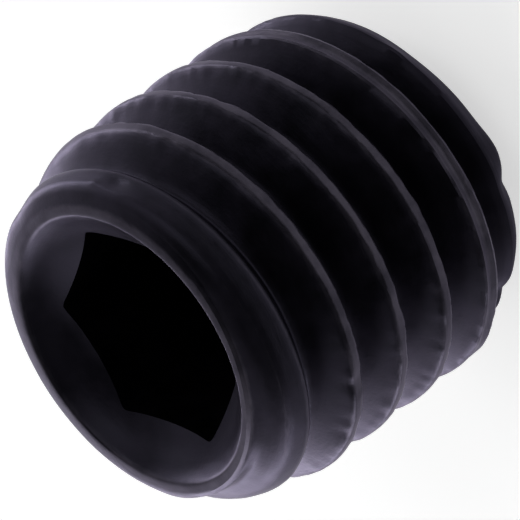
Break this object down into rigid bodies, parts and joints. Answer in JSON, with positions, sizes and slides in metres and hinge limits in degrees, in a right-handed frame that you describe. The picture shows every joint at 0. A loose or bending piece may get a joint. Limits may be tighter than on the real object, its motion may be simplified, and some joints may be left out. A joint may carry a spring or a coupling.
{
  "type": "socket set screw",
  "caption": "Headless black steel set screw: right-hand threaded stud with a hexagon socket in one end and a flat coned point at the other.",
  "frame": {"origin": "centre of the flat point, which is the bottom of the part's box", "axes": "+Z along the screw axis from the point to the socket end, +X through a corner of the hexagon, +Y across two of its flats"},
  "size_m": [0.005, 0.005, 0.005],
  "materials": {
    "black_oxide_steel": "satin black oxide over rolled and hardened alloy steel, bare metal tone showing only faintly on crests and edges"
  },
  "bodies": {
    "root": {"set_screw": "black_oxide_steel"}
  },
  "joints": []
}
